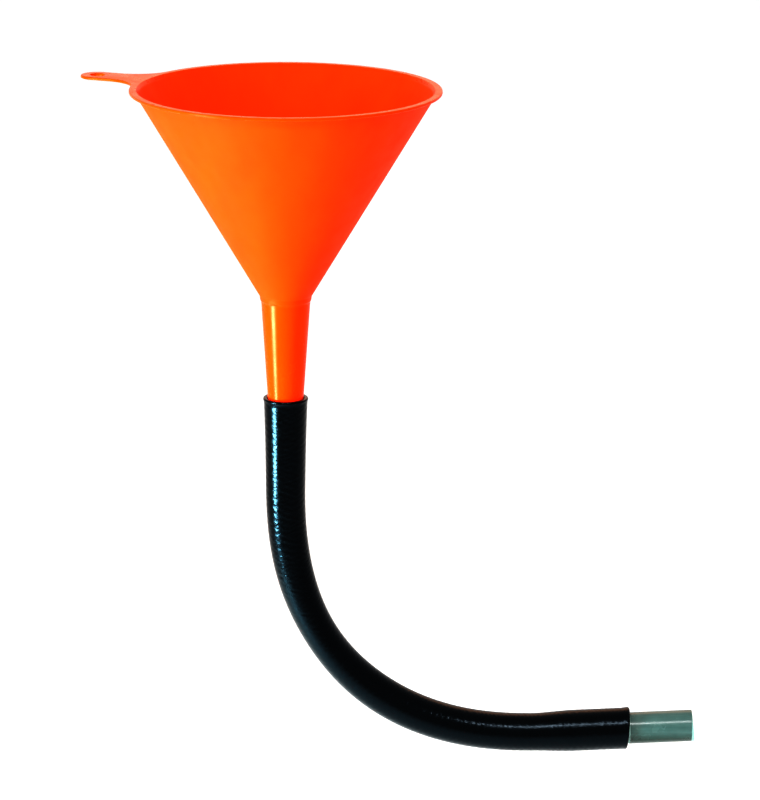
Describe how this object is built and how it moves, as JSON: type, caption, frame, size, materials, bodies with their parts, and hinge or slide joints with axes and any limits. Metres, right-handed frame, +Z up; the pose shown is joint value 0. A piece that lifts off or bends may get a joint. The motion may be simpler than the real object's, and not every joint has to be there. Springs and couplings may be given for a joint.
{
  "type": "funnel",
  "caption": "Round hand funnel with a flat rim, a hanging tab and a tapered stem, and a long flexible hose spout that ends in a rigid tube.",
  "frame": {"origin": "centre of the mouth, in the plane of the rim's top face", "axes": "+Z up along the bowl's axis, +X towards the outlet, so the hose lies in the XZ plane"},
  "size_m": [0.325, 0.16, 0.3565],
  "materials": {
    "orange_polyethylene": "moulded HDPE, satin gloss",
    "black_hose_rubber": "extruded rubber with a fine cloth impression",
    "grey_pvc": "extruded rigid PVC, semi-gloss"
  },
  "bodies": {
    "funnel": {"funnel_body": "orange_polyethylene"},
    "hose_top": {"hose_top_cuff": "black_hose_rubber"},
    "hose_01": {"hose_length_01": "black_hose_rubber"},
    "hose_02": {"hose_length_02": "black_hose_rubber"},
    "hose_03": {"hose_length_03": "black_hose_rubber"},
    "hose_04": {"hose_length_04": "black_hose_rubber"},
    "hose_05": {"hose_length_05": "black_hose_rubber"},
    "hose_06": {"hose_length_06": "black_hose_rubber"},
    "hose_07": {"hose_length_07": "black_hose_rubber"},
    "hose_08": {"hose_length_08": "black_hose_rubber"},
    "hose_09": {"hose_length_09": "black_hose_rubber"},
    "hose_10": {"hose_length_10": "black_hose_rubber"},
    "hose_end": {"hose_end_cuff": "black_hose_rubber", "outlet_tube": "grey_pvc"}
  },
  "joints": [
    {"name": "hose_swivel", "type": "hinge", "parent": "funnel", "child": "hose_top", "pos_m": [0, 0, -0.1625], "axis": [0, 0, 1], "continuous": true},
    {"name": "upper_bend_1", "type": "hinge", "parent": "hose_top", "child": "hose_01", "pos_m": [0, 0, -0.2115], "axis": [0, -1, 0], "range_deg": [-2.66, 0.97], "stiffness_Nm_per_rad": 2.4},
    {"name": "upper_bend_2", "type": "hinge", "parent": "hose_01", "child": "hose_02", "pos_m": [0.00104, 0, -0.23397], "axis": [0, -1, 0], "range_deg": [-6.64, 2.4], "stiffness_Nm_per_rad": 2.4},
    {"name": "upper_bend_3", "type": "hinge", "parent": "hose_02", "child": "hose_03", "pos_m": [0.00466, 0, -0.25616], "axis": [0, -1, 0], "range_deg": [-8.99, 3.25], "stiffness_Nm_per_rad": 2.4},
    {"name": "upper_bend_4", "type": "hinge", "parent": "hose_03", "child": "hose_04", "pos_m": [0.01168, 0, -0.2775], "axis": [0, -1, 0], "range_deg": [-10.66, 3.85], "stiffness_Nm_per_rad": 2.4},
    {"name": "upper_bend_5", "type": "hinge", "parent": "hose_04", "child": "hose_05", "pos_m": [0.02253, 0, -0.29717], "axis": [0, -1, 0], "range_deg": [-11.66, 4.21], "stiffness_Nm_per_rad": 2.4},
    {"name": "upper_bend", "type": "hinge", "parent": "hose_05", "child": "hose_06", "pos_m": [0.03712, 0, -0.31425], "axis": [0, -1, 0], "range_deg": [-11.98, 4.31], "stiffness_Nm_per_rad": 2.4},
    {"name": "lower_bend", "type": "hinge", "parent": "hose_06", "child": "hose_07", "pos_m": [0.05493, 0, -0.32792], "axis": [0, -1, 0], "range_deg": [-11.64, 4.19], "stiffness_Nm_per_rad": 2.4},
    {"name": "lower_bend_2", "type": "hinge", "parent": "hose_07", "child": "hose_08", "pos_m": [0.07515, 0, -0.33772], "axis": [0, -1, 0], "range_deg": [-10.66, 3.85], "stiffness_Nm_per_rad": 2.4},
    {"name": "lower_bend_3", "type": "hinge", "parent": "hose_08", "child": "hose_09", "pos_m": [0.09683, 0, -0.34363], "axis": [0, -1, 0], "range_deg": [-8.98, 3.25], "stiffness_Nm_per_rad": 2.4},
    {"name": "lower_bend_4", "type": "hinge", "parent": "hose_09", "child": "hose_10", "pos_m": [0.11918, 0, -0.34608], "axis": [0, -1, 0], "range_deg": [-6.64, 2.4], "stiffness_Nm_per_rad": 2.4},
    {"name": "lower_bend_5", "type": "hinge", "parent": "hose_10", "child": "hose_end", "pos_m": [0.14167, 0, -0.34594], "axis": [0, -1, 0], "range_deg": [-2.66, 0.97], "stiffness_Nm_per_rad": 2.4}
  ],
  "couplings": [
    {"joint": "upper_bend_1", "follows": "upper_bend", "ratio": 0.2205},
    {"joint": "upper_bend_2", "follows": "upper_bend", "ratio": 0.5528},
    {"joint": "upper_bend_3", "follows": "upper_bend", "ratio": 0.7484},
    {"joint": "upper_bend_4", "follows": "upper_bend", "ratio": 0.8882},
    {"joint": "upper_bend_5", "follows": "upper_bend", "ratio": 0.972},
    {"joint": "lower_bend_2", "follows": "lower_bend", "ratio": 0.9137},
    {"joint": "lower_bend_3", "follows": "lower_bend", "ratio": 0.77},
    {"joint": "lower_bend_4", "follows": "lower_bend", "ratio": 0.5687},
    {"joint": "lower_bend_5", "follows": "lower_bend", "ratio": 0.2268}
  ]
}
